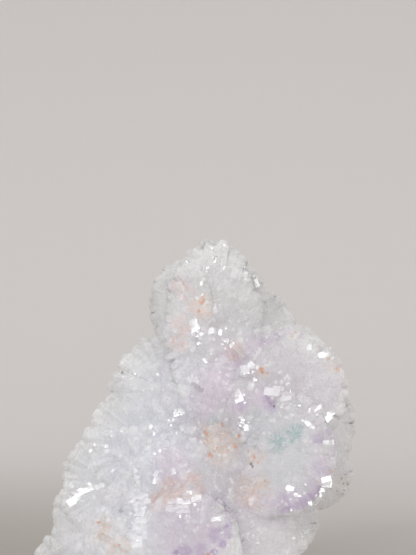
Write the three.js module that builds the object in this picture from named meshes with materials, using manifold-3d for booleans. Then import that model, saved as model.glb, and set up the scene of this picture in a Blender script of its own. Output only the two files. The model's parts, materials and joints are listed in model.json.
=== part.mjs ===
// Amethyst flower: a free-standing cluster of quartz that grew outwards from many hearts at once.
// Near the edge of the front the crystals round a heart spread like petals, a low fan with a scalloped
// rim. Elsewhere they stand out on all sides of their heart, a burst: low in the middle of the front,
// and sharp at the back. Fans and bursts grew into each other and into the mass between them, so the
// whole specimen is one solid. It stands on a flat cut.
//
// Millimetres, +Z up. The origin is the middle of the flat cut, the front faces -Y.

import * as THREE from "three";
import { mergeVertices } from "three/addons/utils/BufferGeometryUtils.js";
import Module from "manifold-3d";

const wasm = await Module();
wasm.setup();
const { Manifold, Mesh } = wasm;

// Fans: long crystals side by side, with one row of points behind them
const PETAL_WIDTH = 7.8; // across a crystal at the rim
const PETAL_THICKNESS = 1.7; // from the middle of a crystal to its flat face
const HEART_SHARE = 0.17; // radius of the plain heart as a share of the fan's
const GROOVE_SHARE = 0.9; // how far the grooves between crystals reach, as a share of the fan's radius
const SHOULDER_SHARE = 0.955; // where a crystal's flat face ends and its blunt point begins
const BEHIND_SHARE = 0.94; // how far the points of the row behind reach
const BEHIND_TILT = 32; // degrees, how far back that row leans
const ROW_TILT = 16; // degrees, where the rim ends and that row begins
const BACK_TILT = 50; // degrees, where that row ends
const BACK_SHARE = 0.7; // how far a fan's plain back reaches behind its heart

// Bursts: a ball of crystal points, one at each corner of a divided icosahedron
const BURST_DETAIL = 2;
const SHARP = 0.84; // how far the grooves between points reach, as a share of the burst's radius
const LOW = 0.94; // the same in a burst of low points
const WANDER = 0.11; // how far a point may stand from its place, as a share of the burst's radius

// How much the crystals of a fan or burst differ
const WIDTH_SPREAD = 0.45;
const LENGTH_SPREAD = 0.05;
const OVAL_SPREAD = 0.06; // how far a fan's rim is from a circle
const THICKNESS_SPREAD = 0.4;
const LEAN_SPREAD = 0.3;

// Each fan: where its heart is, the way it faces, and how far it reaches across and up.
const FANS = [
  // top
  { at: [27, -12, 103], facing: [0, -1, 0.15], reach: [17.5, 31] },
  { at: [16, -10, 111], facing: [-0.25, -1, 0.1], reach: [11.5, 15.5] },
  { at: [35, -8, 113], facing: [0.2, -1, 0.2], reach: [11.5, 12.5] },
  { at: [40, -5, 101], facing: [0.35, -1, 0.4], reach: [18.3, 17.5] },
  // right
  { at: [50, -17, 82], facing: [-0.15, -1, 0.1], reach: [23.4, 22.8] },
  { at: [49, -19, 60], facing: [-0.25, -1, 0.05], reach: [21, 22] },
  { at: [59.5, -6, 67], facing: [0.45, -1, 0.1], reach: [19.6, 21] },
  { at: [63.5, -6, 50], facing: [0.4, -1, -0.15], reach: [14, 12] },
  { at: [50, -13, 34], facing: [0.3, -1, -0.35], reach: [14, 14] },
  // left, from the top down
  { at: [13.5, -12, 79], facing: [-0.15, -1, 0.1], reach: [23.2, 22.2] },
  { at: [3.5, -13, 63], facing: [-0.15, -1, 0.15], reach: [22, 20.5] },
  { at: [-6, -13, 48], facing: [-0.2, -1, 0.1], reach: [21.5, 20] },
  { at: [-11.5, -12, 34.5], facing: [-0.25, -1, 0.1], reach: [20, 20] },
  { at: [-19, -9, 10], facing: [-0.3, -1, 0.2], reach: [24, 24] },
  // low in the middle, and the foot
  { at: [19, -22, 29], facing: [-0.3, -1, 0.05], reach: [18.5, 18.5] },
  { at: [36, -17, 10], facing: [0.25, -1, -0.05], reach: [19, 19] },
];

// Each burst: its heart, how far its points reach along x, y and z, and its grooves.
const BURSTS = [
  // middle of the front
  { at: [27, -2, 100], reach: [15, 12, 20], hollow: LOW },
  { at: [27, -5, 76], reach: [24, 14.5, 26], hollow: LOW },
  { at: [22, -6, 50], reach: [31, 15.5, 26], hollow: LOW },
  { at: [6, -5, 24], reach: [30, 16, 28], hollow: LOW },
  { at: [38, -5, 30], reach: [22, 16, 30], hollow: LOW },
  // back
  { at: [26, 5, 108], reach: [19, 16, 19], hollow: SHARP },
  { at: [43, 7, 83], reach: [23, 20, 21], hollow: SHARP },
  { at: [17, 9, 78], reach: [20, 19, 20], hollow: SHARP },
  { at: [49, 8, 54], reach: [21, 21, 22], hollow: SHARP },
  { at: [7, 10, 50], reach: [24, 21, 23], hollow: SHARP },
  { at: [33, 10, 28], reach: [23, 21, 24], hollow: SHARP },
  { at: [-8, 9, 18], reach: [26, 21, 24], hollow: SHARP },
];

const CUT_HALF_WIDTH = 200; // the block that takes away what lies below the flat cut

// The same spread of numbers from 0 to 1 on every run
let drawn = 0;
function chance() {
  drawn += 1;
  const wave = Math.sin(drawn * 12.9898) * 43758.5453;
  return wave - Math.floor(wave);
}

function spread(most) {
  return 1 + (2 * chance() - 1) * most;
}

function indexed(geometry) {
  const bare = geometry.clone();
  bare.deleteAttribute("normal");
  bare.deleteAttribute("uv");
  return mergeVertices(bare, 1e-4);
}

// A closed geometry as a solid that can be joined and cut
function solidOf(geometry) {
  const merged = indexed(geometry);
  return new Manifold(
    new Mesh({
      numProp: 3,
      vertProperties: merged.attributes.position.array,
      triVerts: new Uint32Array(merged.index.array),
    }),
  );
}

function geometryFrom(places, corners) {
  return new THREE.BufferGeometry()
    .setAttribute("position", new THREE.Float32BufferAttribute(places, 3))
    .setIndex(corners);
}

// A fan of crystals that faces +Y, as one closed geometry
function fanGeometry([across, up]) {
  const radius = (across + up) / 2;
  const count = Math.round((2 * Math.PI * radius) / PETAL_WIDTH);
  const places = [];
  const corners = [];
  const put = (turn, out, height) => {
    places.push(out * Math.cos(turn), height, out * Math.sin(turn));
    return places.length / 3 - 1;
  };
  const putBehind = (turn, reach, degrees) => {
    const tilt = THREE.MathUtils.degToRad(degrees);
    return put(turn, reach * Math.cos(tilt), -reach * Math.sin(tilt));
  };

  const shares = Array.from({ length: count }, () => spread(WIDTH_SPREAD));
  const total = shares.reduce((sum, share) => sum + share);
  const longWay = Math.PI * chance();
  let turn = 0;
  const petals = shares.map((share) => {
    const wide = (share / total) * 2 * Math.PI;
    const middle = turn + (wide / 2) * spread(LEAN_SPREAD);
    const oval = radius * (1 + OVAL_SPREAD * Math.cos(2 * (turn - longWay)));
    const groove = oval * GROOVE_SHARE;
    const length = oval * spread(LENGTH_SPREAD);
    const thickness = PETAL_THICKNESS * spread(THICKNESS_SPREAD);
    const petal = {
      heart: put(turn, radius * HEART_SHARE * spread(LEAN_SPREAD), PETAL_THICKNESS * 0.8),
      upperGroove: put(turn, groove * spread(LENGTH_SPREAD / 2), PETAL_THICKNESS * 0.45),
      lowerGroove: putBehind(turn, groove, ROW_TILT * 0.75),
      left: put(turn + wide * 0.22, length * SHOULDER_SHARE, thickness),
      right: put(turn + wide * 0.78, length * SHOULDER_SHARE, thickness),
      point: put(middle, length, thickness * 0.5 * (chance() - 0.5)),
      under: putBehind(middle, groove, ROW_TILT),
      behindPoint: putBehind(turn, radius * BEHIND_SHARE * spread(LENGTH_SPREAD), BEHIND_TILT),
      behindSide: putBehind(middle, groove * 0.97, BACK_TILT * 0.9),
      behindEnd: putBehind(turn, groove * 0.97, BACK_TILT),
    };
    turn += wide;
    return petal;
  });

  const face = put(0, 0, PETAL_THICKNESS * 0.8);
  const back = put(0, 0, -radius * BACK_SHARE);
  petals.forEach((petal, i) => {
    const next = petals[(i + 1) % count];
    // flat face, from the heart to the shoulders, and its slopes to the grooves
    corners.push(face, next.heart, petal.heart);
    corners.push(petal.heart, next.heart, petal.right, petal.heart, petal.right, petal.left);
    corners.push(petal.heart, petal.left, petal.upperGroove);
    corners.push(next.heart, next.upperGroove, petal.right);
    // blunt point at the rim
    const rim = [petal.left, petal.right, next.upperGroove, next.lowerGroove, petal.under];
    rim.push(petal.lowerGroove, petal.upperGroove, petal.left);
    for (let k = 0; k < rim.length - 1; k += 1) corners.push(rim[k], rim[k + 1], petal.point);
    // point of the row behind, between this petal and the next
    const row = [petal.under, next.lowerGroove, next.under, next.behindSide, next.behindEnd];
    row.push(petal.behindSide, petal.under);
    for (let k = 0; k < row.length - 1; k += 1) corners.push(row[k], row[k + 1], next.behindPoint);
    // plain back
    corners.push(petal.behindEnd, petal.behindSide, back, petal.behindSide, next.behindEnd, back);
  });
  return geometryFrom(places, corners).scale(across / radius, 1, up / radius);
}

function fan({ at, facing, reach }) {
  const towards = new THREE.Vector3(...facing).normalize();
  const across = new THREE.Vector3().crossVectors(towards, new THREE.Vector3(0, 0, 1)).normalize();
  const up = new THREE.Vector3().crossVectors(across, towards);
  const turned = new THREE.Matrix4().makeBasis(across, towards, up);
  return solidOf(fanGeometry(reach).applyMatrix4(turned).translate(...at));
}

// A burst: every corner of a divided icosahedron becomes a crystal's point, and the middle of every
// triangle becomes a hollow where three crystals meet.
function burst({ at, reach, hollow }) {
  const ball = indexed(new THREE.IcosahedronGeometry(1, BURST_DETAIL));
  const tips = Array.from({ length: ball.attributes.position.count }, (_, i) =>
    new THREE.Vector3().fromBufferAttribute(ball.attributes.position, i),
  );
  const index = Array.from(ball.index.array);
  const triangles = index.flatMap((_, i) => (i % 3 ? [] : [index.slice(i, i + 3)]));
  const hollows = triangles.map((triangle) =>
    triangle
      .reduce((sum, corner) => sum.add(tips[corner]), new THREE.Vector3())
      .setLength(hollow * spread(LENGTH_SPREAD / 2)),
  );
  const hollowBeside = new Map();
  triangles.forEach((triangle, t) =>
    triangle.forEach((from, k) => hollowBeside.set(`${from} ${triangle[(k + 1) % 3]}`, t)),
  );
  const corners = [];
  for (const [edge, leftOfEdge] of hollowBeside) {
    const [from, to] = edge.split(" ").map(Number);
    const rightOfEdge = hollowBeside.get(`${to} ${from}`);
    corners.push(from, tips.length + rightOfEdge, tips.length + leftOfEdge);
  }
  const points = tips.map((tip) => {
    const wander = new THREE.Vector3(chance(), chance(), chance()).subScalar(0.5);
    return tip.addScaledVector(wander, 2 * WANDER).setLength(spread(LENGTH_SPREAD));
  });
  const places = [...points, ...hollows].flatMap((place) => place.toArray());
  return solidOf(geometryFrom(places, corners).scale(...reach).translate(...at));
}

// Joins every solid, takes away what lies below the flat cut, and keeps the one large body.
function joined(solids) {
  const whole = solids.reduce((sum, solid) => sum.add(solid));
  const below = new THREE.BoxGeometry(2 * CUT_HALF_WIDTH, 2 * CUT_HALF_WIDTH, CUT_HALF_WIDTH);
  below.translate(0, 0, -CUT_HALF_WIDTH / 2);
  const bodies = whole.subtract(solidOf(below)).decompose();
  return bodies.sort((a, b) => b.volume() - a.volume())[0];
}

function geometryOf(solid) {
  const mesh = solid.getMesh();
  return new THREE.BufferGeometry()
    .setAttribute("position", new THREE.BufferAttribute(mesh.vertProperties, 3))
    .setIndex(new THREE.BufferAttribute(mesh.triVerts, 1));
}

const quartz = new THREE.MeshStandardMaterial({ color: 0xd2cdd5, roughness: 0.35, metalness: 0 });
const solids = [...BURSTS.map(burst), ...FANS.map(fan)];
const cluster = new THREE.Mesh(geometryOf(joined(solids)), quartz);
cluster.name = "amethyst_flower";

const part = new THREE.Group();
part.add(cluster);

export default part;
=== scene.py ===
# %% [markdown]
# # Amethyst flower
# A cluster of pale quartz that grew outwards from many hearts at once. Near the edge of its front
# the crystals lie side by side like petals, in the middle they show only their ends, and at the
# back they stand out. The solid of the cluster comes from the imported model. This script grows the
# finer crystals on it, joins all of them in one closed mesh, gives it the look of milky quartz
# with lilac rims, and sets it on a plain pale sweep.

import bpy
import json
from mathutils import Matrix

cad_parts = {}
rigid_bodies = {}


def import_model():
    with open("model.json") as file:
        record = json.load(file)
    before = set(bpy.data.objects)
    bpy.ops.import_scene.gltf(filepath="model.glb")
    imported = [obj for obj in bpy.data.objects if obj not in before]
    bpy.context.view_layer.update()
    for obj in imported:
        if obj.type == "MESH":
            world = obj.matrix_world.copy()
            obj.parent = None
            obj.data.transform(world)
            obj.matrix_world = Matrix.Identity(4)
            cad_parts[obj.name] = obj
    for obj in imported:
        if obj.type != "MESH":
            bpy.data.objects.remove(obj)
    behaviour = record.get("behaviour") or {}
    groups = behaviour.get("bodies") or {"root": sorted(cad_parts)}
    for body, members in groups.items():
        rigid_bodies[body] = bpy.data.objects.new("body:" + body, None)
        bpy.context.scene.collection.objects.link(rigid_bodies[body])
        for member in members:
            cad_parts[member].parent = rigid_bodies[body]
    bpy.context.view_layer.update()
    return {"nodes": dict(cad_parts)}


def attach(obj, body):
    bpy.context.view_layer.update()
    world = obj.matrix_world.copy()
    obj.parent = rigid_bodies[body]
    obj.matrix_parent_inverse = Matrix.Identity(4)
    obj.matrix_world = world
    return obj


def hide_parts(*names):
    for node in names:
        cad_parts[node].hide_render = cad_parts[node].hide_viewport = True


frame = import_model()
solid = frame["nodes"]["amethyst_flower"]

# %% Tools for making things
import json
import math
import random

import bpy
import numpy as np
from mathutils import Matrix, Vector
from mathutils.bvhtree import BVHTree

MM = 0.001
random.seed(7)


def deselect():
    """Nothing is selected and no piece is in edit mode, so that the next operator starts clean."""
    if bpy.context.object and bpy.context.object.mode != "OBJECT":
        bpy.ops.object.mode_set(mode="OBJECT")
    bpy.ops.object.select_all(action="DESELECT")


def pick(piece):
    deselect()
    bpy.context.view_layer.objects.active = piece
    piece.select_set(True)


def select_faces(piece, wanted):
    """Selects the faces for which wanted(face) is true, and leaves the piece in edit mode."""
    bpy.ops.object.mode_set(mode="EDIT")
    bpy.ops.mesh.select_mode(type="FACE")
    bpy.ops.mesh.select_all(action="DESELECT")
    bpy.ops.object.mode_set(mode="OBJECT")
    for face in piece.data.polygons:
        face.select = wanted(face)
    bpy.ops.object.mode_set(mode="EDIT")


def triangles(mesh):
    return sum(len(face.vertices) - 2 for face in mesh.polygons)


def vary(share):
    """A factor near 1."""
    return 1 + random.uniform(-share, share)


# %% [markdown]
# ## Camera
# The photograph looks straight ahead at the upper half of the cluster. The camera comes first,
# because the broken faces and the stains are placed where this view shows them.

# %% Camera at the photograph's viewing angle
EYE = Vector((0.0252, -0.472, 0.1206))
LENS, SENSOR_HEIGHT = 85.04, 36
PHOTO_WIDTH, PHOTO_HEIGHT = 416, 555
camera = bpy.data.objects.new("camera", bpy.data.cameras.new("camera"))
bpy.context.scene.collection.objects.link(camera)
camera.location = EYE
camera.rotation_euler = (math.radians(90), 0, 0)
camera.data.sensor_fit = "VERTICAL"
camera.data.sensor_height = SENSOR_HEIGHT
camera.data.lens = LENS
bpy.context.scene.camera = camera
print("camera at", tuple(round(c, 3) for c in EYE), "m with a lens of", LENS, "mm")


def seen(tree, across, down):
    """The place of the surface in tree that a pixel of the photograph shows, or None."""
    pixel = SENSOR_HEIGHT / PHOTO_HEIGHT / LENS
    ray = Vector(((across - PHOTO_WIDTH / 2) * pixel, 1, (PHOTO_HEIGHT / 2 - down) * pixel))
    return tree.ray_cast(EYE, ray.normalized())[0]


# %% [markdown]
# ## Where the crystals grow
# The solid was made from hearts. A fan has a heart, the way it faces and how far it reaches across
# and up, and a burst has a heart and how far it reaches along the three axes. They are repeated
# here, so that the fine crystals stand out from the same hearts as the coarse ones.

# %% Hearts of the fans and bursts, and the width of each fan's crystals, in millimetres
FANS = [
    # top
    ((27, -12, 103), (0, -1, 0.15), (17.5, 31), 4.4),
    ((16, -10, 111), (-0.25, -1, 0.1), (11.5, 15.5), 4.2),
    ((35, -8, 113), (0.2, -1, 0.2), (11.5, 12.5), 4.0),
    ((40, -5, 101), (0.35, -1, 0.4), (18.3, 17.5), 4.6),
    # right
    ((50, -17, 82), (-0.15, -1, 0.1), (23.4, 22.8), 5.6),
    ((49, -19, 60), (-0.25, -1, 0.05), (21, 22), 6.4),
    ((59.5, -6, 67), (0.45, -1, 0.1), (19.6, 21), 5.2),
    ((63.5, -6, 50), (0.4, -1, -0.15), (14, 12), 4.8),
    ((50, -13, 34), (0.3, -1, -0.35), (14, 14), 4.6),
    # left, from the top down
    ((13.5, -12, 79), (-0.15, -1, 0.1), (23.2, 22.2), 5.8),
    ((3.5, -13, 63), (-0.15, -1, 0.15), (22, 20.5), 5.2),
    ((-6, -13, 48), (-0.2, -1, 0.1), (21.5, 20), 5.0),
    ((-11.5, -12, 34.5), (-0.25, -1, 0.1), (20, 20), 5.6),
    ((-19, -9, 10), (-0.3, -1, 0.2), (24, 24), 5.2),
    # low in the middle, and the foot
    ((19, -22, 29), (-0.3, -1, 0.05), (18.5, 18.5), 5.0),
    ((36, -17, 10), (0.25, -1, -0.05), (19, 19), 4.6),
]
RIBBED = (9, 10, 11, 12, 13)  # the fans on the left
LOW_BURSTS = [
    ((27, -2, 100), (15, 12, 20)),
    ((27, -5, 76), (24, 14.5, 26)),
    ((22, -6, 50), (31, 15.5, 26)),
    ((6, -5, 24), (30, 16, 28)),
    ((38, -5, 30), (22, 16, 30)),
]
SHARP_BURSTS = [
    ((26, 5, 108), (19, 16, 19)),
    ((43, 7, 83), (23, 20, 21)),
    ((17, 9, 78), (20, 19, 20)),
    ((49, 8, 54), (21, 21, 22)),
    ((7, 10, 50), (24, 21, 23)),
    ((33, 10, 28), (23, 21, 24)),
    ((-8, 9, 18), (26, 21, 24)),
]
HEARTS = FANS + LOW_BURSTS + SHARP_BURSTS
print(len(FANS), "fans and", len(LOW_BURSTS) + len(SHARP_BURSTS), "bursts")

# %% [markdown]
# ## Shapes of crystals
# A quartz crystal is a six-sided column that ends in a point. It could be typed in as a list of
# corners, but a cylinder with six sides is already the column. Its foot is drawn in, because it
# grew from a heart, and its top is pulled up and drawn together. Petals at a rim are wide and end
# bluntly, ribs are turned so that an edge faces outwards, grains show only a low end, and the
# crystals at the back have a sharp point. A broken face is a flat square tablet, and low plates
# and round lumps lie under the finest crystals.


# %% One crystal, one unit long and one unit across
def new_shape(name):
    """The piece just made, with its name and with room for where its faces come from."""
    piece = bpy.context.object
    piece.name = name
    bpy.ops.object.transform_apply(location=True, rotation=True, scale=True)
    piece.data.attributes.new("origin", "FLOAT_VECTOR", "FACE")
    print(name, len(piece.data.polygons), "faces,", triangles(piece.data), "triangles")
    return piece


def draw_up(piece, steps):
    """Each step pulls the top of a piece up and draws it together."""
    select_faces(piece, lambda face: face.normal.z > 0.9)
    for rise, draw in steps:
        bpy.ops.mesh.extrude_region_move(TRANSFORM_OT_translate={"value": (0, 0, rise)})
        bpy.ops.transform.resize(value=(draw, draw, 1))
    bpy.ops.object.mode_set(mode="OBJECT")


def crystal_shape(name, foot, steps, turn=0):
    """A column that stands on its drawn-in foot."""
    deselect()
    top = sum(rise for rise, _ in steps)
    bpy.ops.mesh.primitive_cylinder_add(
        vertices=6,
        radius=0.5,
        depth=1 - top,
        location=(0, 0, (1 - top) / 2),
        rotation=(0, 0, math.radians(turn)),
    )
    select_faces(bpy.context.object, lambda face: face.normal.z < -0.9)
    bpy.ops.transform.resize(value=(foot, foot, 1))
    draw_up(bpy.context.object, steps)
    return new_shape(name)


petal = crystal_shape("petal", 0.35, [(0.05, 0.84), (0.035, 0.6)], turn=30)
rib = crystal_shape("rib", 0.4, [(0.07, 0.75), (0.04, 0.5)])
grain = crystal_shape("grain", 0.6, [(0.16, 0.3)])
point = crystal_shape("point", 0.5, [(0.2, 0.12)])

# %% A broken face, and the low plates and lumps under the finest crystals
deselect()
bpy.ops.mesh.primitive_cylinder_add(
    vertices=4,
    radius=math.sqrt(0.5),
    depth=1,
    location=(0, 0, -0.5),
    rotation=(0, 0, math.radians(45)),
)
tablet = new_shape("tablet")
deselect()
bpy.ops.mesh.primitive_cylinder_add(vertices=36, radius=1, depth=0.7, location=(0, 0, -0.65))
draw_up(bpy.context.object, [(0.2, 0.95), (0.1, 0.85)])
plate = new_shape("plate")
deselect()
bpy.ops.mesh.primitive_ico_sphere_add(subdivisions=4, radius=1)
lump = new_shape("lump")

# %% [markdown]
# ## The mass that they grow on
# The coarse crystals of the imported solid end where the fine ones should, so they grow on a copy of
# it that is sunk a little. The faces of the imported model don't share their corners, so these are
# merged first. The foot stays where it is.

# %% The solid that they grow on, as a merged copy
flower = solid.copy()
flower.data = solid.data.copy()
flower.name = "quartz_cluster"
flower.parent = None
bpy.context.scene.collection.objects.link(flower)
pick(flower)
bpy.ops.object.mode_set(mode="EDIT")
bpy.ops.mesh.select_all(action="SELECT")
bpy.ops.mesh.remove_doubles(threshold=1e-6)
bpy.ops.object.mode_set(mode="OBJECT")
solid_tree = BVHTree.FromObject(flower, bpy.context.evaluated_depsgraph_get())
SUNK = 0.9 * MM
corners = flower.data.vertices
inner = [corner.co - corner.normal * SUNK * (corner.co.z > 0) for corner in corners]
for corner, place in zip(corners, inner):
    corner.co = (place.x, place.y, max(0, place.z))
print("merged copy", len(corners), "corners")


def depth_inside(place):
    """How far a place lies inside the solid, in metres, and less than 0 outside it."""
    spot, normal, _, distance = solid_tree.find_nearest(place)
    return -distance if (place - spot).dot(normal) > 0 else distance


# %% [markdown]
# ## Growing a crystal
# Every crystal is a copy with a mesh of its own. Its faces remember where they come from: a number
# of the crystal's own, the number of its heart, and whether it is a broken face, which give the
# finished surface its tones later. Crystals that are worn and half sunk in the mass go in one
# collection, and the sharp ones in another.

# %% A copy of a crystal
worn = bpy.data.collections.new("worn")
sharp = bpy.data.collections.new("sharp")
for collection in (worn, sharp):
    bpy.context.scene.collection.children.link(collection)
FOOT_CLEARANCE = 0.4 * MM
DEEPEST_TIP, HIGHEST_TIP = 0.8 * MM, -2.4 * MM  # inside the solid, and outside it


def reach_of(number):
    """How far the crystals of a heart reach on the average, in metres."""
    reach = HEARTS[number][1] if number >= len(FANS) else HEARTS[number][2]
    return sum(reach) / len(reach) * MM


heart_places = [Vector(heart[0]) * MM for heart in HEARTS]


def nearest_heart(place):
    distances = [(place - heart).length / reach_of(k) for k, heart in enumerate(heart_places)]
    return distances.index(min(distances))


def add_copy(shape, number, place, group, broken=0.0):
    """A copy of a shape, put in its place by a matrix, unless it reaches below the foot."""
    mesh = shape.data.copy()
    mesh.transform(place)
    if min(vertex.co.z for vertex in mesh.vertices) < FOOT_CLEARANCE:
        return
    origin = (random.random(), number, broken)
    mesh.attributes["origin"].data.foreach_set("vector", origin * len(mesh.polygons))
    group.objects.link(bpy.data.objects.new("crystal", mesh))


def grow(shape, number, root, direction, facing, length, width, thickness, group):
    """One crystal from root along direction, its flat side to facing, if its tip fits the solid."""
    if not HIGHEST_TIP < depth_inside(root + direction * length) < DEEPEST_TIP:
        return
    side = facing.cross(direction).normalized()
    flat = direction.cross(side).normalized()
    turned = Matrix((side, flat, direction)).transposed().to_4x4()
    size = Matrix.Diagonal((width, thickness, length, 1))
    add_copy(shape, number, Matrix.Translation(root) @ turned @ size, group)


# %% [markdown]
# ## Fans
# On the real thing a fan's face is almost flat: long crystals lie side by side, and only their
# blunt ends make its rim wavy. Behind the rim more rows of points lean back. A low plate and short
# petals round the heart are worn into the mass, and sharp petals make the rim. The fans on the
# left have rounder crystals, like the ribs of a shell.

# %% Crystals of the fans
PLATE_SHARE, PLATE_THICKNESS = 0.93, 3.5  # share of the fan's reach, and millimetres
PLATE_HEIGHT, RIBBED_PLATE_HEIGHT = 1.85, 1.3  # millimetres in front of the heart
INNER = (0.62, 0.06, 1.8)  # reach, start and height of the worn petals
OUTER = (1.0, 0.42, 2.1)  # the same of the sharp ones
SPACING, RIB_SPACING = 0.56, 0.68  # from one petal to the next, in widths
FLATNESS, RIB_FLATNESS = 0.44, 0.85  # thickness, in widths
WORN_WIDTH, SHARP_WIDTH = 0.7, 0.95  # share of the fan's width of crystals
WIDTH_SPREAD, HEIGHT_SPREAD = 0.22, 0.12
REACH_SPREAD, RIB_REACH_SPREAD = 0.035, 0.07
ROWS = [(-10, 0.985, 0.6), (-23, 0.96, 0.7), (-37, 0.94, 0.7)]  # tilt, reach, start
ROW_WIDTH, ROW_THICKNESS = 0.85, 0.8  # share of the fan's width, and of the crystal's own
ROW_WIDTH_SPREAD, ROW_REACH_SPREAD = 0.3, 0.04
TURN_SPREAD, LEAN_SPREAD, ROLL_SPREAD = 0.35, 1.5, 0.09  # steps, degrees and radians
FLAT_SIDE = math.cos(math.radians(30)) / 2  # from the middle of a column to its flat side


def round_heart(number, tilt, count):
    """Directions round a fan's heart, where each crystal's flat side faces, and its reach."""
    _, facing, (wide, tall), _ = FANS[number]
    facing = Vector(facing).normalized()
    across = facing.cross(Vector((0, 0, 1))).normalized()
    up = across.cross(facing).normalized()
    for i in range(count):
        turn = (i + random.uniform(-TURN_SPREAD, TURN_SPREAD)) * math.tau / count
        lean = math.radians(tilt + random.uniform(-LEAN_SPREAD, LEAN_SPREAD))
        oval = across * math.cos(turn) * wide + up * math.sin(turn) * tall
        direction = (oval.normalized() * math.cos(lean) + facing * math.sin(lean)).normalized()
        roll = Vector([random.gauss(0, ROLL_SPREAD) for _ in range(3)])
        yield direction, facing + roll, oval.length * MM


for number, (at, facing, (wide, tall), width) in enumerate(FANS):
    heart = Vector(at) * MM
    forward = Vector(facing).normalized()
    across = forward.cross(Vector((0, 0, 1))).normalized()
    turned = Matrix((across, forward.cross(across), forward)).transposed().to_4x4()
    size = (wide * PLATE_SHARE * MM, tall * PLATE_SHARE * MM, PLATE_THICKNESS * MM, 1)
    if number in RIBBED:
        shape, flatness, spacing = rib, RIB_FLATNESS, RIB_SPACING
        reach_spread, plate_height = RIB_REACH_SPREAD, RIBBED_PLATE_HEIGHT
    else:
        shape, flatness, spacing = petal, FLATNESS, SPACING
        reach_spread, plate_height = REACH_SPREAD, PLATE_HEIGHT
    middle = heart + forward * plate_height * MM
    place = Matrix.Translation(middle) @ turned @ Matrix.Diagonal(size)
    add_copy(plate, number, place, worn)
    round_way = math.pi * (wide + tall)
    for (reach, start, height), share, group in (
        (INNER, WORN_WIDTH, worn),
        (OUTER, SHARP_WIDTH, sharp),
    ):
        count = round(round_way * reach / (width * spacing))
        for direction, rolled, far in round_heart(number, 0, count):
            across_petal = width * vary(WIDTH_SPREAD) * MM * share
            thickness = across_petal * flatness
            out = height * MM * vary(HEIGHT_SPREAD) - thickness * FLAT_SIDE
            root = heart + forward * out + direction * far * start
            length = far * (reach * vary(reach_spread) - start)
            grow(shape, number, root, direction, rolled, length, across_petal, thickness, group)
    for k, (tilt, reach, start) in enumerate(ROWS):
        count = round(round_way * math.cos(math.radians(tilt)) / (ROW_WIDTH * width))
        group = sharp if k == 0 or number in RIBBED else worn
        for direction, rolled, far in round_heart(number, tilt, count):
            across_point = ROW_WIDTH * width * vary(ROW_WIDTH_SPREAD) * MM
            length = far * (reach * vary(ROW_REACH_SPREAD) - start)
            root = heart + direction * far * start
            size = (length, across_point, across_point * ROW_THICKNESS)
            grow(petal, number, root, direction, rolled, *size, group)

# %% [markdown]
# ## Bursts
# In the middle of the front only the low ends of crystals show, close together like coarse sugar,
# and a few of them are still sharp. At the back longer points stand free. All are placed evenly
# round the ball of their burst and set on the solid where a line from outside to the heart meets
# it. Low lumps fill the deepest gaps between the fans, which the real thing doesn't have.

# %% Crystals of the bursts
OTHER_SIDE = -0.3  # a crystal that points further than this away from its side is left out
FARTHEST = 1.12  # shares of the reach beyond which the solid belongs to another heart
BURST_LENGTH = 2.2  # in widths
OUTSIDE = 1.6  # shares of the reach from which the solid is looked for
BURST_TURN_SPREAD = 0.2  # radians


def burst(shape, number, group, area, widths, rise, side, wander):
    """Crystals round a heart, on the front (side -1) or the back (1) of its ball.

    Each takes up area square millimetres. Widths and rise, which is how far a tip stands out of the
    solid, are in millimetres.
    """
    at, reach = HEARTS[number]
    heart = Vector(at) * MM
    count = round(4 * math.pi * (sum(reach) / 3) ** 2 / area)
    for i in range(count):
        lift = 1 - 2 * (i + 0.5) / count
        turn = i * math.pi * (3 - math.sqrt(5))
        turn += random.uniform(-BURST_TURN_SPREAD, BURST_TURN_SPREAD)
        flat = math.sqrt(1 - lift * lift)
        ball = Vector((flat * math.cos(turn), flat * math.sin(turn), lift))
        if ball.y * side < OTHER_SIDE:
            continue
        far = Vector([b * r * MM for b, r in zip(ball, reach)])
        met = solid_tree.ray_cast(heart + far * OUTSIDE, -far.normalized())[0]
        if met is None or not 0 < (met - heart).dot(far) < FARTHEST * far.length_squared:
            continue
        lean = Vector([random.gauss(0, wander) for _ in range(3)])
        direction = (far.normalized() + lean).normalized()
        width = random.uniform(*widths) * MM
        tip = met + direction * random.uniform(*rise) * MM
        length = BURST_LENGTH * width
        facing = Vector([random.gauss(0, 1) for _ in range(3)])
        root = tip - direction * length
        grow(shape, number, root, direction, facing, length, width, width, group)


GRAINS = {"area": 6.5, "widths": (3.2, 5.0), "rise": (0.1, 0.5), "wander": 0.12}
LUMP_SHARE = 0.965  # of the reach
for k, (at, reach) in enumerate(LOW_BURSTS):
    number = len(FANS) + k
    size = Matrix.Diagonal((*(Vector(reach) * LUMP_SHARE * MM), 1))
    add_copy(lump, number, Matrix.Translation(Vector(at) * MM) @ size, worn)
    burst(grain, number, worn, side=-1, **GRAINS)
FILLINGS = [
    # across and down in the photograph in pixels, reach across, out and up in millimetres
    (236, 445, 11, 1.4, 15),
    (247, 405, 12, 1.4, 9),
    (250, 500, 12, 1.4, 9),
    (196, 337, 12, 1.2, 7),
    (230, 345, 12, 1.3, 7),
]
FILLING_SUNK = 0.3  # share of how far it reaches out
for across, down, *reach in FILLINGS:
    place = seen(solid_tree, across, down)
    size = Matrix.Diagonal((*(Vector(reach) * MM), 1))
    middle = place + Vector((0, FILLING_SUNK * reach[1] * MM, 0))
    add_copy(lump, nearest_heart(place), Matrix.Translation(middle) @ size, worn)

# %% [markdown]
# ## Grown together
# The worn crystals of such a cluster are fused with the mass and their edges are rounded. A voxel
# Remesh makes one closed skin round all of them, two Displace modifiers make it uneven, and
# Decimate takes the corners out of its flat parts. The sharp crystals keep their edges: a Boolean
# modifier joins them to the skin, so that the whole cluster is one closed mesh.

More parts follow.
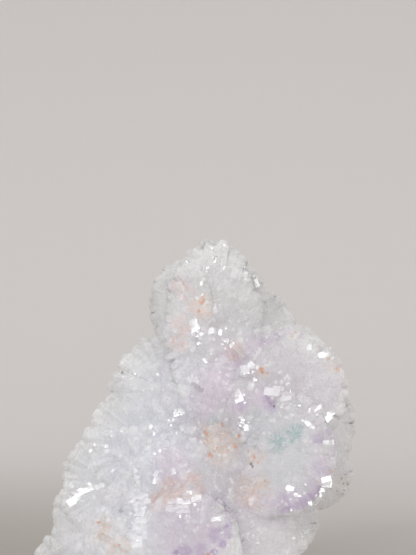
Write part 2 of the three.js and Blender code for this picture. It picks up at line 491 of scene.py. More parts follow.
# %% Where each face of the worn crystals comes from
flower.data.attributes.new("origin", "FLOAT_VECTOR", "FACE")
for face in flower.data.polygons:
    number = nearest_heart(face.center)
    flower.data.attributes["origin"].data[face.index].vector = (0.5, number, 0)
pick(flower)
for piece in list(worn.objects):
    piece.select_set(True)
bpy.ops.object.join()


def face_vectors(piece, name):
    values = np.empty(len(piece.data.polygons) * 3, np.float32)
    piece.data.attributes[name].data.foreach_get("vector", values)
    return values.reshape(-1, 3)


worn_origins = face_vectors(flower, "origin")
worn_tree = BVHTree.FromObject(flower, bpy.context.evaluated_depsgraph_get())
print("worn crystals", triangles(flower.data), "triangles")

# %% The worn skin
VOXEL, SKIN_TRIANGLES = 0.6 * MM, 70000
LUMP_SIZE, LUMP_HEIGHT = 7 * MM, 0.6 * MM
SUGAR_SIZE, SUGAR_HEIGHT = 2.2 * MM, 0.3 * MM


def finish_with(kind, name, **settings):
    """Adds a modifier to the cluster and applies it."""
    modifier = flower.modifiers.new(name, kind)
    for setting, value in settings.items():
        setattr(modifier, setting, value)
    bpy.ops.object.modifier_apply(modifier=name)


def cloud_texture(name, size, depth):
    texture = bpy.data.textures.new(name, "CLOUDS")
    texture.noise_scale, texture.noise_depth = size, depth
    return texture


pick(flower)
finish_with("REMESH", "skin", mode="VOXEL", voxel_size=VOXEL)
print("fused skin", triangles(flower.data), "triangles")
finish_with("SMOOTH", "worn", factor=0.5, iterations=2)
lumps = cloud_texture("lumps", LUMP_SIZE, 1)
finish_with("DISPLACE", "uneven", texture=lumps, texture_coords="LOCAL", strength=LUMP_HEIGHT)
sugar = cloud_texture("sugar", SUGAR_SIZE, 2)
finish_with("DISPLACE", "sugar", texture=sugar, texture_coords="LOCAL", strength=SUGAR_HEIGHT)
finish_with("DECIMATE", "fewer", ratio=min(1, SKIN_TRIANGLES / triangles(flower.data)))
for vertex in flower.data.vertices:
    vertex.co.z = max(0, vertex.co.z)
print("worn skin", triangles(flower.data), "triangles")
skin_origins = [worn_origins[worn_tree.find_nearest(f.center)[2]] for f in flower.data.polygons]
layer = flower.data.attributes.new("origin", "FLOAT_VECTOR", "FACE")
layer.data.foreach_set("vector", np.array(skin_origins, np.float32).ravel())
skin_tree = BVHTree.FromObject(flower, bpy.context.evaluated_depsgraph_get())

# %% [markdown]
# ## Sharp crystals
# A few small crystals stand out of the skin of the front, and longer points cover the back. They
# grow as the worn ones do, but after the Remesh, which would round their edges off.

# %% Points
SMALL_POINTS = {"area": 24, "widths": (1.4, 3.4), "rise": (0.5, 1.3), "wander": 0.4}
LONG_POINTS = {"area": 20, "widths": (3.4, 6.4), "rise": (0.6, 2.4), "wander": 0.16}
for k in range(len(LOW_BURSTS)):
    burst(point, len(FANS) + k, sharp, side=-1, **SMALL_POINTS)
for k in range(len(SHARP_BURSTS)):
    burst(point, len(FANS) + len(LOW_BURSTS) + k, sharp, side=1, **LONG_POINTS)

# %% [markdown]
# ## Broken faces
# The brightest marks in the photograph are flat faces that mirror the window, and tiny faces
# glitter between them. A material's bump could only suggest them, so they are real faces: small
# flat tablets, sunk in the surface where the camera sees the mark and turned so that they mirror
# the key light to it. A large face is laid out from several of them, each a little askew, as a
# real broken face is.

# %% Flat faces that catch the light
KEY_PLACE = Vector((-0.42, -0.78, 0.62))  # where the window stands
BROKEN_FACES = [
    # across and down in the photograph in pixels, width and height in millimetres, roll in degrees,
    # and how polished it is, which also sets how strongly it is painted white as a glint
    (193, 325, 2.2, 3.8, 20, 1),
    (211, 331, 2.4, 1.6, 20, 0.9),
    (220, 333, 1.2, 1.4, 0, 1),
    (226, 340, 2.0, 1.2, -20, 0.9),
    (232, 344, 1.2, 1.0, 0, 1),
    (214, 309, 1.6, 3.0, 10, 0.6),
    (238, 396, 2.2, 3.8, 20, 1),
    (274, 391, 7.0, 2.4, 3, 0.8),
    (285, 398, 3.4, 1.8, 25, 0.7),
    (245, 370, 2.6, 3.0, 10, 0.6),
    (254, 366, 3.6, 1.4, -20, 0.6),
    (249, 386, 2.6, 2.0, -30, 0.5),
    (309, 347, 1.4, 1.8, 0, 0.8),
    (324, 355, 3.8, 1.4, 0, 0.8),
    (318, 408, 2.2, 1.0, 40, 1),
    (309, 424, 0.9, 4.6, 50, 0.9),
    (329, 415, 2.2, 3.6, -35, 0.8),
    (329, 441, 3.6, 2.4, 0, 0.6),
    (327, 482, 2.4, 3.4, 5, 1),
    (322, 490, 1.2, 1.2, 0, 1),
    (290, 488, 2.2, 1.4, -20, 1),
    (298, 495, 2.4, 1.0, 0, 1),
    (310, 504, 1.2, 1.4, 30, 1),
    (176, 414, 1.8, 1.6, 0, 1),
    (180, 411, 1.2, 1.6, 0, 0.8),
    (242, 417, 1.0, 2.6, 20, 0.8),
    (246, 427, 1.4, 1.6, 20, 0.9),
    (136, 498, 3.6, 4.4, -20, 0.6),
    (144, 498, 3.4, 4.4, 20, 0.6),
    (140, 508, 3.6, 5.0, 0, 0.6),
    (140, 523, 4.6, 4.0, 0, 0.5),
    (139, 533, 6.2, 4.0, 0, 0.5),
    (137, 542, 3.8, 3.6, 0, 0.6),
    (137, 475, 1.5, 5.6, 8, 0.6),
    (156, 476, 1.2, 5.0, -8, 0.6),
    (174, 470, 1.0, 2.4, 15, 0.8),
    (172, 504, 3.2, 5.0, 0, 0.5),
    (183, 506, 4.2, 5.2, 0, 0.6),
    (196, 497, 3.0, 2.2, 0, 0.7),
    (218, 518, 5.0, 1.5, 8, 0.8),
    (252, 500, 1.6, 4.0, 0, 0.5),
    (84, 490, 7.0, 2.2, 30, 0.9),
    (74, 500, 5.0, 2.4, 36, 0.8),
    (100, 486, 3.0, 1.4, 20, 0.8),
    (161, 442, 4.6, 3.6, 20, 0.4),
    (107, 448, 1.2, 4.0, 0, 0.5),
    (255, 281, 1.6, 4.0, 12, 0.8),
    (246, 277, 1.6, 3.4, 0, 0.6),
    (237, 273, 3.6, 2.4, 0, 0.5),
    (307, 530, 1.4, 2.6, 0, 0.9),
    (245, 535, 2.0, 2.4, 10, 0.6),
    (205, 361, 1.4, 1.2, 0, 0.8),
]
TABLET_SIZE, TABLET_RISE, TABLET_DEPTH = 2.0, 0.22, 3  # millimetres
TABLET_OVERLAP, TABLET_SPREAD, RISE_SPREAD = 1.25, 0.2, 0.4  # shares
TABLET_SHIFT, TABLET_TURN, MIRROR_SPREAD = 0.2, 14, 0.035  # millimetres, degrees, radians
PIXEL = 0.36  # millimetres of the front that a pixel shows
corners, faces = [], []
for crystal in sharp.objects:
    first = len(corners)
    corners += [vertex.co.copy() for vertex in crystal.data.vertices]
    faces += [[first + v for v in face.vertices] for face in crystal.data.polygons]
sharp_tree = BVHTree.FromPolygons(corners, faces)


def add_tablet(across, down, width, height, roll, shine):
    """A tablet where a pixel sees the surface, turned to mirror the key light to the camera."""
    met = (seen(skin_tree, across, down), seen(sharp_tree, across, down))
    places = [place for place in met if place]
    if not places:
        return  # a glint that was strewn beyond the outline
    place = min(places, key=lambda place: (place - EYE).length)
    mirror = ((EYE - place).normalized() + (KEY_PLACE - place).normalized()).normalized()
    mirror = (mirror + Vector([random.gauss(0, MIRROR_SPREAD) for _ in range(3)])).normalized()
    level = mirror.cross(Vector((0, 0, 1))).normalized()
    turned = Matrix((level, mirror.cross(level), mirror)).transposed().to_4x4()
    turned = turned @ Matrix.Rotation(math.radians(roll), 4, "Z")
    size = Matrix.Diagonal((width * MM, height * MM, TABLET_DEPTH * MM, 1))
    top = Matrix.Translation(place + mirror * TABLET_RISE * vary(RISE_SPREAD) * MM)
    add_copy(tablet, nearest_heart(place), top @ turned @ size, sharp, shine)


for across, down, width, height, roll, shine in BROKEN_FACES:
    turn = math.radians(roll)
    wide, tall = (max(1, round(size / TABLET_SIZE)) for size in (width, height))
    for i in range(wide * tall):
        right = ((i % wide + 0.5) / wide - 0.5) * width
        right += random.uniform(-TABLET_SHIFT, TABLET_SHIFT)
        up = ((i // wide + 0.5) / tall - 0.5) * height
        up += random.uniform(-TABLET_SHIFT, TABLET_SHIFT)
        add_tablet(
            across + (right * math.cos(turn) - up * math.sin(turn)) / PIXEL,
            down - (right * math.sin(turn) + up * math.cos(turn)) / PIXEL,
            width / wide * TABLET_OVERLAP * vary(TABLET_SPREAD),
            height / tall * TABLET_OVERLAP * vary(TABLET_SPREAD),
            roll + random.uniform(-TABLET_TURN, TABLET_TURN),
            shine,
        )
GLINTS = [
    # across and down in the photograph in pixels, how far they are strewn, and how many
    (203, 334, 9, 9), (222, 341, 8, 8), (241, 400, 5, 5), (242, 424, 5, 8), (285, 396, 11, 6),
    (254, 374, 10, 9), (322, 496, 6, 5), (330, 352, 6, 5), (310, 418, 8, 5), (140, 518, 7, 8),
    (188, 504, 12, 8), (179, 412, 4, 4), (76, 496, 10, 8), (110, 440, 18, 8), (158, 446, 10, 6),
    (135, 372, 16, 9), (222, 248, 18, 12), (246, 276, 8, 7), (246, 530, 12, 8), (298, 534, 8, 6),
    (300, 500, 12, 6), (205, 275, 20, 8), (170, 420, 18, 8),
]
GLINT_SCATTER = 0.6
GLINT_WIDTHS, GLINT_HEIGHTS = (0.45, 1.0), (0.5, 1.4)
GLINT_ROLLS, GLINT_SHINES = (-40, 40), (0.6, 1)
for across, down, spread, count in GLINTS:
    wander = spread * GLINT_SCATTER
    for _ in range(count):
        spot = (across + random.gauss(0, wander), down + random.gauss(0, wander))
        size = (random.uniform(*GLINT_WIDTHS), random.uniform(*GLINT_HEIGHTS))
        add_tablet(*spot, *size, random.uniform(*GLINT_ROLLS), random.uniform(*GLINT_SHINES))

# %% The sharp crystals joined to it
for shape in (petal, rib, grain, point, tablet, plate, lump):
    bpy.data.objects.remove(shape)
finish_with(
    "BOOLEAN",
    "grown together",
    operation="UNION",
    operand_type="COLLECTION",
    collection=sharp,
    solver="MANIFOLD",
)
for piece in list(sharp.objects):
    bpy.data.objects.remove(piece)
print("joined", triangles(flower.data), "triangles")

# %% Loose crumbs and closed gaps inside taken away
# what isn't linked to the topmost corner isn't part of the cluster's surface
bpy.ops.object.mode_set(mode="EDIT")
bpy.ops.mesh.select_mode(type="VERT")
bpy.ops.mesh.select_all(action="DESELECT")
bpy.ops.object.mode_set(mode="OBJECT")
max(flower.data.vertices, key=lambda vertex: vertex.co.z).select = True
bpy.ops.object.mode_set(mode="EDIT")
bpy.ops.mesh.select_linked()
bpy.ops.mesh.select_all(action="INVERT")
bpy.ops.mesh.delete(type="VERT")
bpy.ops.object.mode_set(mode="OBJECT")
print("without crumbs", triangles(flower.data), "triangles")

# %% Smooth where it is rounded, and in its place in the frame
SHARP_EDGE = math.radians(32)
bpy.ops.object.shade_smooth_by_angle(angle=SHARP_EDGE)
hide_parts("amethyst_flower")
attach(flower, "root")
surface_tree = BVHTree.FromObject(flower, bpy.context.evaluated_depsgraph_get())
print("cluster in mm", [round(side * 1000, 1) for side in flower.dimensions])

# %% [markdown]
# ## What the surface remembers
# The stains and streaks of real quartz follow its growth, which the finished mesh no longer knows.
# So each corner of each face keeps two attributes for the material: its ray, which is where it
# lies seen from its heart, in shares of the heart's reach, and its growth, which is its crystal's
# own numbers.

# %% What each corner of a face remembers
mesh = flower.data
heart_array = np.array([tuple(place) for place in heart_places], np.float32)
reach_array = np.array([reach_of(k) for k in range(len(HEARTS))], np.float32)
places = np.empty(len(mesh.vertices) * 3, np.float32)
mesh.vertices.foreach_get("co", places)
corner_vertex = np.empty(len(mesh.loops), np.int32)
mesh.loops.foreach_get("vertex_index", corner_vertex)
face_size = np.empty(len(mesh.polygons), np.int32)
mesh.polygons.foreach_get("loop_total", face_size)
growth = np.repeat(face_vectors(flower, "origin"), face_size, axis=0)
number = growth[:, 1].round().astype(int)
rays = places.reshape(-1, 3)[corner_vertex] - heart_array[number]
rays /= reach_array[number][:, None]
for name, values in (("ray", rays), ("growth", growth)):
    layer = mesh.attributes.new(name, "FLOAT_VECTOR", "CORNER")
    layer.data.foreach_set("vector", values.astype(np.float32).ravel())
print("remembered at", len(mesh.loops), "corners of faces")

# %% [markdown]
# ## Shader maths
# A material's pattern is a sum of many small steps. Wrapped sockets let it be written as ordinary
# arithmetic, where each step adds its own node.


# %% A socket with arithmetic
class Shade:
    """A socket of a shader node. Arithmetic on it adds Math nodes, or Vector Math for vectors."""

    tree = None

    def __init__(self, socket):
        self.socket = socket

    @classmethod
    def node(cls, kind, settings=None, sockets=None, output=0):
        """A node of one kind. Its settings are set first, then its sockets' values or links."""
        made = cls.tree.nodes.new(kind)
        for name, value in (settings or {}).items():
            setattr(made, name, value)
        for name, value in (sockets or {}).items():
            if isinstance(value, Shade):
                cls.tree.links.new(value.socket, made.inputs[name])
            else:
                made.inputs[name].default_value = value
        return cls(made.outputs[output])

    def math(self, operation, *others, clamp=False):
        sockets = dict(enumerate((self, *others)))
        settings = {"operation": operation, "use_clamp": clamp}
        return Shade.node("ShaderNodeMath", settings, sockets)

    def vector(self, operation, *others, output=0):
        sockets = dict(enumerate((self, *others)))
        return Shade.node("ShaderNodeVectorMath", {"operation": operation}, sockets, output)

    def combine(self, operation, other):
        kinds = {self.socket.type, other.socket.type if isinstance(other, Shade) else type(other)}
        vectors = kinds & {"VECTOR", "RGBA", tuple}
        return (self.vector if vectors else self.math)(operation, other)

    def __add__(self, other):
        return self.combine("ADD", other)

    def __sub__(self, other):
        return self.combine("SUBTRACT", other)

    def __rsub__(self, other):
        return Shade.node("ShaderNodeMath", {"operation": "SUBTRACT"}, {0: other, 1: self})

    def __mul__(self, other):
        return self.combine("MULTIPLY", other)

    __radd__ = __add__
    __rmul__ = __mul__

    def clamp(self):
        return self.math("ADD", 0, clamp=True)

    def step(self, low, high):
        """0 below low, 1 above high, and smooth between them. Low may be above high."""
        settings = {"interpolation_type": "SMOOTHSTEP"}
        sockets = {"Value": self, "From Min": low, "From Max": high}
        return Shade.node("ShaderNodeMapRange", settings, sockets)

    def scaled(self, factor):
        sockets = {0: self, "Scale": factor}
        return Shade.node("ShaderNodeVectorMath", {"operation": "SCALE"}, sockets)

    def part(self, k):
        """One of the three numbers of a vector or colour, counted from 0."""
        return Shade.node("ShaderNodeSeparateXYZ", None, {0: self}, k)


def blend(factor, below, above):
    """A colour between two colours."""
    sockets = {0: factor}
    for name, colour in ((6, below), (7, above)):
        sockets[name] = colour if isinstance(colour, Shade) else (*colour, 1)
    return Shade.node("ShaderNodeMix", {"data_type": "RGBA"}, sockets, 2)


# %% [markdown]
# ## Quartz
# The real stone is clear at its thin edges and milky inside, and its tones run out from the hearts
# like rays. The material reads the rays and numbers that the surface remembers. Noise in the space
# of a ray's direction gives fibres that follow the growth, and noise in plain space gives clouds.

# %% Growth rays and noise
quartz = bpy.data.materials.new("milky_quartz")
quartz.use_nodes = True
quartz.node_tree.nodes.clear()
Shade.tree = quartz.node_tree
place = Shade.node("ShaderNodeTexCoord", output="Object")
ray = Shade.node("ShaderNodeAttribute", {"attribute_name": "ray"}, output="Vector")
growth = Shade.node("ShaderNodeAttribute", {"attribute_name": "growth"}, output="Vector")
seed, heart_number, broken = (growth.part(k) for k in range(3))
sideways, depthways, upwards = (place.part(k) for k in range(3))
share = ray.vector("LENGTH", output=1)
ray_direction = ray.vector("NORMALIZE")


def noise(scale, detail=2.0, shift=(0, 0, 0), rough=0.5, output="Fac"):
    """Noise from 0 to 1 with lumps of about 1 / scale metres."""
    moved = place.vector("ADD", shift)
    sockets = {"Vector": moved, "Scale": scale, "Detail": detail, "Roughness": rough}
    return Shade.node("ShaderNodeTexNoise", None, sockets, output)


def fibres(fine, stretch, detail=2.0, shift=0.0):
    """Noise drawn out along the growth rays."""
    sockets = {
        "Vector": ray_direction,
        "W": share * stretch + heart_number * 7.3 + shift,
        "Scale": fine,
        "Detail": detail,
    }
    return Shade.node("ShaderNodeTexNoise", {"noise_dimensions": "4D"}, sockets, "Fac")


# %% [markdown]
# ## Where the stains are
# Iron has stained the real stone in small orange specks, rust and rose clouds and a few green
# tufts, and the rims of the lower fans are violet. A stain is a soft ball round the place of the
# surface that the photograph shows it at. Its edge is made ragged by shifting every place a little
# with noise.

# %% Soft balls and tufts of threads
RAGGED = 3.2 * MM
CENTRED = (0.5, 0.5, 0.5)
ragged = place + (noise(420, 3, output="Color") - CENTRED).scaled(RAGGED)


def ball(across, down, radius):
    """1 at the place seen at a pixel and 0 from radius millimetres away."""
    middle = seen(surface_tree, across, down)
    if middle is None:
        print("no surface at", across, down)
        return None
    return ragged.vector("DISTANCE", tuple(middle), output=1).step(radius * MM, radius * 0.35 * MM)


def balls(*spots):
    """Several balls at once, each given as across and down in pixels and a radius."""
    found = [one for one in (ball(*spot) for spot in spots) if one]
    total = found[0]
    for one in found[1:]:
        total = total.math("MAXIMUM", one)
    return total


specks = balls(
    (319, 347, 0.9), (329, 358, 1.0), (333, 362, 0.9), (338, 369, 1.3), (296, 332, 0.9),
    (291, 335, 0.7), (262, 371, 1.2), (267, 373, 0.8), (222, 424, 0.9), (206, 433, 1.2),
    (240, 435, 1.0), (235, 447, 1.2), (210, 456, 1.5), (222, 441, 0.9), (202, 301, 1.3),
    (199, 312, 0.8), (174, 341, 0.8), (103, 534, 1.0), (98, 523, 0.9), (118, 546, 1.0),
    (331, 472, 1.4), (209, 554, 1.1), (305, 379, 0.6), (343, 495, 0.9), (348, 485, 0.9),
    (347, 474, 0.7), (254, 456, 1.0), (228, 452, 0.7), (217, 447, 0.6), (231, 442, 0.6),
    (207, 441, 0.7), (248, 452, 0.7), (257, 462, 0.8), (214, 451, 0.8), (265, 480, 0.6),
    (244, 470, 0.5), (192, 341, 0.5), (186, 336, 0.4), (335, 470, 0.6),
)
rust = balls(
    (221, 446, 9.0), (210, 434, 6.0), (257, 457, 4.5), (203, 305, 5.5), (103, 530, 7.0),
    (118, 547, 6.0), (262, 372, 3.0), (336, 366, 5.0), (343, 485, 5.0), (252, 490, 9.0),
)
rose = balls(
    (178, 284, 4.0), (187, 293, 4.5), (197, 305, 5.0), (204, 315, 4.0), (181, 325, 5.5),
    (178, 343, 5.0), (190, 486, 7.5), (172, 490, 6.5), (160, 500, 6.0), (235, 350, 5.0),
)
lilac = balls(
    (214, 384, 11.0), (203, 403, 8.0), (262, 399, 5.5), (238, 402, 6.0), (234, 357, 6.0),
    (190, 532, 19.0), (280, 505, 8.0), (290, 512, 7.0), (172, 466, 10.0), (322, 470, 8.0),
    (255, 344, 6.0), (250, 500, 6.0),
)
violet = balls(
    (330, 431, 2.2), (332, 440, 2.4), (334, 449, 2.6), (333, 457, 2.6), (329, 461, 2.0),
    (331, 467, 2.2), (328, 474, 2.2), (324, 481, 2.0), (320, 487, 2.2), (316, 492, 2.4),
    (311, 497, 2.6), (305, 502, 2.8), (298, 506, 3.0), (290, 509, 2.8), (227, 511, 2.0),
    (229, 518, 2.4), (229, 526, 2.6), (228, 535, 2.6), (223, 545, 2.0), (214, 552, 1.6),
    (176, 553, 1.6),
)
faint = balls(
    (262, 342, 2.4), (268, 340, 2.6), (275, 336, 2.6), (282, 333, 2.4), (290, 331, 2.0),
    (300, 334, 1.8), (334, 354, 2.4), (338, 364, 2.4), (340, 375, 2.6), (339, 386, 2.4),
    (213, 499, 3.6), (222, 505, 2.6), (217, 536, 4.5), (202, 550, 3.5), (185, 552, 3.5),
    (243, 404, 3.4), (268, 402, 3.6), (272, 408, 3.0), (319, 440, 4.0), (320, 468, 4.0),
    (300, 500, 5.5), (285, 504, 5.0), (312, 488, 4.5),
)
greyish = balls((275, 440, 17.0), (290, 470, 15.0), (262, 425, 10.0))
# dark specks, and three marks of painted shade along a groove on the left rim
dark_specks_and_painted_groove_shade = balls(
    (272, 403, 0.8), (274, 406, 0.6), (252, 464, 0.9), (253, 467, 0.7), (341, 479, 0.6),
    (345, 475, 0.6), (343, 484, 0.6), (347, 482, 0.6), (343, 490, 0.6), (338, 490, 0.5),
    (120, 368, 0.7), (123, 373, 0.8), (126, 378, 0.6), (216, 258, 0.9),
)
pit = balls((194, 384, 1.6), (197, 387, 1.8), (200, 390, 1.5))


def tuft(across, down, radius):
    """Fine threads that stand out from a place."""
    middle = seen(surface_tree, across, down)
    away = place - tuple(middle)
    sockets = {"Vector": away.vector("NORMALIZE"), "Scale": 7.0, "Detail": 3.0, "Roughness": 0.7}
    threads = Shade.node("ShaderNodeTexNoise", None, sockets, "Fac").step(0.47, 0.57)
    length = away.vector("LENGTH", output=1) + noise(700) * 2.5 * MM
    return threads * length.step(radius * MM, radius * 0.3 * MM)


green = (
    tuft(277, 442, 6.0)
    + tuft(294, 434, 6.0)
    + tuft(301, 427, 3.5)
    + tuft(301, 451, 2.2) * 0.8
    + tuft(213, 421, 4.0) * 0.6
    + tuft(291, 442, 2.5) * 0.8
).clamp()
print("stains", len(quartz.node_tree.nodes), "nodes so far")

# %% [markdown]
# ## Relief
# Under a lens the surface is a patchwork of tiny flat faces. A Voronoi texture gives the patches.
# The height in each patch rises in a direction of its own, so every patch is flat and turned its
# own way. Fine grooves along the growth rays lie over them. Broken faces stay smooth.


# %% Tiny faces and grooves
def tiny_faces(size, steep):
    """Height in metres of a patchwork of flat faces of about size millimetres, and their tints."""
    sockets = {"Vector": place, "Scale": 1 / (size * MM)}
    cell = Shade.node("ShaderNodeTexVoronoi", None, sockets, "Position")
    tint = Shade.node("ShaderNodeTexVoronoi", None, sockets, "Color")
    slope = (tint - CENTRED).scaled(2 * steep)
    return (place - cell).vector("DOT_PRODUCT", slope, output=1), tint


coarse, coarse_tint = tiny_faces(size=2.6, steep=0.11)
fine, fine_tint = tiny_faces(size=1.1, steep=0.07)
grooves = (fibres(34, 1.0, 3) - 0.5) * 0.5 * MM
height = (coarse + fine + grooves) * (1 - broken * 0.95)
relief = Shade.node("ShaderNodeBump", None, {"Height": height, "Strength": 0.5, "Distance": 1.0})

# %% [markdown]
# ## Colours
# The parts of the cluster differ a little: warm near the top, cool on the left, pale lilac on the
# right and grey where the quartz is clearest. Painted light makes the parts further back, in the
# recesses, and the rims of the fans lighter. Over that come the stains, the lighter streaks and
# veils along the rays, and the flecks of tiny faces, which are partly painted glints, as the nearly
# white broken faces are. Each line blends one more tone over the ones before it.

# %% Colours of the quartz
WHITE = (0.90, 0.895, 0.925)
COOL = (0.65, 0.67, 0.725)
WARM = (0.56, 0.545, 0.55)
PALE_LILAC = (0.575, 0.55, 0.585)
GREY = (0.60, 0.615, 0.645)
LILAC = (0.66, 0.555, 0.68)
VIOLET = (0.36, 0.23, 0.48)
ROSE = (0.70, 0.55, 0.52)
SAND = (0.74, 0.60, 0.50)
ORANGE = (0.66, 0.30, 0.14)
GREEN = (0.10, 0.38, 0.34)
BROWN = (0.10, 0.06, 0.05)

streaks = fibres(30, 1.2, 3)
clouds = noise(90, 3)
wavy_height = upwards + noise(60) * 0.02
left = (sideways + clouds * 0.02).step(0.045, 0.012)
lower = wavy_height.step(0.122, 0.098)
is_fan = heart_number.step(len(FANS) - 0.4, len(FANS) - 0.6)
# the parts of the cluster, whiter near the foot, and painted light in the recesses and at the rims
base = blend(lower, WARM, blend(left, PALE_LILAC, COOL))
base = blend(greyish * 0.95, base, GREY)
base = blend(clouds.step(0.5, 0.75) * 0.3, base, WHITE)
# painted light: the parts further back, in the recesses, are painted whiter against their shade
base = blend(depthways.step(-17 * MM, -3 * MM) * 0.5, base, WHITE)
base = blend(wavy_height.step(0.075, 0.03) * 0.5, base, WHITE)
# painted light at the rims of the fans, stronger on the left
painted_rim_light = share.step(0.8, 1.02) * (left * 0.5 + 0.2) * (is_fan * 0.8 + 0.2)
base = blend(painted_rim_light, base, WHITE)
# broad stains, and violet rims that are strongest along the streaks
base = blend(lilac * (clouds * 0.6 + 0.35) * 0.8, base, LILAC)
base = blend(rose * noise(300, 3).step(0.25, 0.65) * 0.95, base, ROSE)
base = blend(rust * noise(260, 3).step(0.25, 0.65) * 0.75, base, SAND)
along_streaks = streaks.step(0.3, 0.6)
base = blend(faint * (along_streaks * 0.3 + 0.2), base, VIOLET)
base = blend(violet * (along_streaks * 0.45 + 0.4), base, VIOLET)
# white streaks, tiny faces, flecks that are partly painted glints, and lines
base = blend(streaks.step(0.42, 0.7) * 0.3, base, WHITE)
base = blend(coarse_tint.part(1).step(0.45, 1) * 0.12, base, WHITE)
base = blend(fine_tint.part(1).step(0.45, 1) * 0.1, base, WHITE)
# painted glints: white flecks on tiny faces, which are also polished
flecks_and_painted_glints = fine_tint.part(2).step(0.84, 0.9) * noise(120, 2).step(0.4, 0.6)
base = blend(flecks_and_painted_glints * 0.7, base, WHITE)
lines = fibres(75, 4, 2, 9.0).step(0.56, 0.68) * noise(200, 2, (5, 0, 0)).step(0.4, 0.6)
base = blend(lines * 0.55, base, WHITE)
# small stains, and painted shade in a groove on the left rim
base = blend(specks * noise(900, 2).step(0.3, 0.55) * 0.8, base, ORANGE)
base = blend(green * 0.85, base, GREEN)
base = blend(pit * 0.35, base, BROWN)
base = blend(dark_specks_and_painted_groove_shade * 0.8, base, BROWN)
# some crystals a little lighter than others, and broken faces nearly white: partly their own
# white, and partly a painted glint that is stronger the more polished they are
base = blend(seed.step(0, 1) * 0.18, base, WHITE)
base = blend(broken.step(0.2, 1) * 0.8, base, WHITE)

# %% [markdown]
# ## Clear and milky
# A single glassy shader would look like ice and a single milky one like plaster, so two are mixed.
# Most of it is milky: light wanders far under the surface and comes out again, which softens every
# shadow, while broken faces and flecks stay polished. A little of it is clear, more of it towards
# the rims of the fans and less in veils that follow the rays. Rays that are already inside the
# stone meet only the clear one.

# %% Clear and milky shaders
REFRACTION = 1.54  # quartz
clear = {
    "Base Color": (0.97, 0.965, 0.98, 1),
    "Roughness": 0.08,
    "IOR": REFRACTION,
    "Transmission Weight": 1.0,
    "Normal": relief,
}
roughness = coarse_tint.part(0) * 0.4 + 0.12
milky = {
    "Base Color": base,
    "Roughness": roughness * (1 - broken * 0.8) * (1 - flecks_and_painted_glints * 0.7),
    "IOR": REFRACTION,
    "Subsurface Weight": 1.0,
    "Subsurface Radius": (1.0, 0.95, 1.0),
    "Subsurface Scale": 34 * MM,
    "Normal": relief,
}
clear = Shade.node("ShaderNodeBsdfPrincipled", None, clear)
milky = Shade.node("ShaderNodeBsdfPrincipled", None, milky)
inside = Shade.node("ShaderNodeNewGeometry", output="Backfacing")
veils = fibres(9, 2.5, 2, 3.0).step(0.35, 0.7) * 0.3
milk = (0.94 - share.step(0.6, 1.0) * 0.1 + veils).clamp()
both = Shade.node("ShaderNodeMixShader", None, {0: milk * (1 - inside), 1: clear, 2: milky})
out = quartz.node_tree.nodes.new("ShaderNodeOutputMaterial")
quartz.node_tree.links.new(both.socket, out.inputs["Surface"])
flower.data.materials.clear()
flower.data.materials.append(quartz)
print("quartz", len(quartz.node_tree.nodes), "nodes")

# %% [markdown]
# ## Sweep
# A photographer's sweep is a sheet of paper that lies on the table and curves up behind the
# object, so that no horizon shows. A plane's far edge is pulled out along that curve. In the
# photograph the paper darkens near the table, more on the left, so its colour does the same.

# %% Paper sweep
SWEEP_START, SWEEP_RADIUS, SWEEP_TOP, SWEEP_HALF = 0.30, 0.45, 1.7, 1.6
deselect()
bpy.ops.mesh.primitive_plane_add(size=2 * SWEEP_HALF, location=(0, SWEEP_START - SWEEP_HALF, 0))
sweep = bpy.context.object
sweep.name = "sweep"
bpy.ops.object.mode_set(mode="EDIT")
bpy.ops.mesh.select_mode(type="EDGE")
bpy.ops.mesh.select_all(action="DESELECT")
bpy.ops.object.mode_set(mode="OBJECT")
far = max(vertex.co.y for vertex in sweep.data.vertices)
for edge in sweep.data.edges:
    edge.select = all(abs(sweep.data.vertices[v].co.y - far) < 1e-6 for v in edge.vertices)
bpy.ops.object.mode_set(mode="EDIT")
CURVE_STEPS = 16
angles = [math.pi / 2 * k / CURVE_STEPS for k in range(CURVE_STEPS + 1)]
for low, high in zip(angles, angles[1:]):
    ahead = SWEEP_RADIUS * (math.sin(high) - math.sin(low))
    rise = SWEEP_RADIUS * (math.cos(low) - math.cos(high))
    bpy.ops.mesh.extrude_region_move(TRANSFORM_OT_translate={"value": (0, ahead, rise)})
straight = SWEEP_TOP - SWEEP_RADIUS
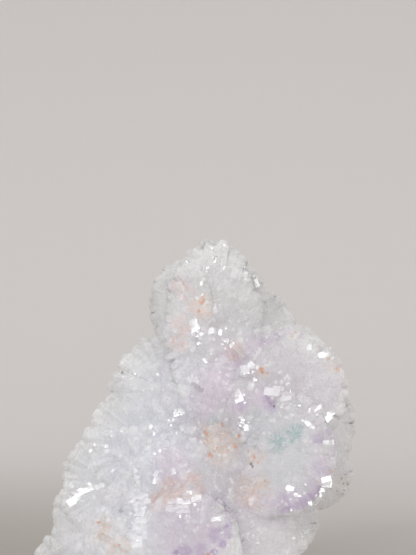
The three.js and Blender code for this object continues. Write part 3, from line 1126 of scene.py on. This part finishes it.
bpy.ops.mesh.extrude_region_move(TRANSFORM_OT_translate={"value": (0, 0, straight)})
bpy.ops.object.mode_set(mode="OBJECT")
bpy.ops.object.transform_apply(location=True, rotation=True, scale=True)
bpy.ops.object.shade_smooth()
print("sweep", len(sweep.data.polygons), "faces")

# %% Paper
PAPER, SHADED_PAPER = (0.68, 0.655, 0.64), (0.36, 0.33, 0.30)
paper = bpy.data.materials.new("paper")
paper.use_nodes = True
Shade.tree = paper.node_tree
spot = Shade.node("ShaderNodeTexCoord", output="Object")
# painted shade: the paper is darker near the table, more on the left
shaded = spot.part(1).step(0.42, 0.06) * (0.95 - spot.part(0).step(-0.15, 0.2) * 0.6)
tone = blend(shaded, PAPER, SHADED_PAPER)
surface = paper.node_tree.nodes["Principled BSDF"]
paper.node_tree.links.new(tone.socket, surface.inputs["Base Color"])
surface.inputs["Roughness"].default_value = 0.9
sweep.data.materials.append(paper)

# %% [markdown]
# ## Light
# The photograph is lit by a bright, even room, so most of the light comes from the world. One
# small bright window gives the glints, and a large weak one lightens the right side. The plain
# Standard view keeps the pale tones as they are.

# %% World and windows
world = bpy.data.worlds.new("studio")
bpy.context.scene.world = world
world.use_nodes = True
world.node_tree.nodes["Background"].inputs["Color"].default_value = (1.0, 0.985, 0.97, 1)
world.node_tree.nodes["Background"].inputs["Strength"].default_value = 0.82
MIDDLE = Vector((0.02, 0, 0.07))


def softbox(name, place, size, watts, colour):
    """A rectangle of light that points at the middle of the cluster."""
    light = bpy.data.lights.new(name, "AREA")
    light.shape, light.size, light.size_y = "RECTANGLE", *size
    light.energy, light.color = watts, colour
    lamp = bpy.data.objects.new(name, light)
    bpy.context.scene.collection.objects.link(lamp)
    lamp.location = place
    lamp.rotation_euler = (MIDDLE - Vector(place)).to_track_quat("-Z", "Y").to_euler()
    print(name, watts, "W")


softbox("window", KEY_PLACE, (0.24, 0.24), 3.0, (0.95, 0.97, 1))
softbox("fill", (0.75, -0.5, 0.1), (0.6, 0.6), 1.5, (1, 0.98, 0.97))
bpy.context.scene.view_settings.view_transform = "Standard"
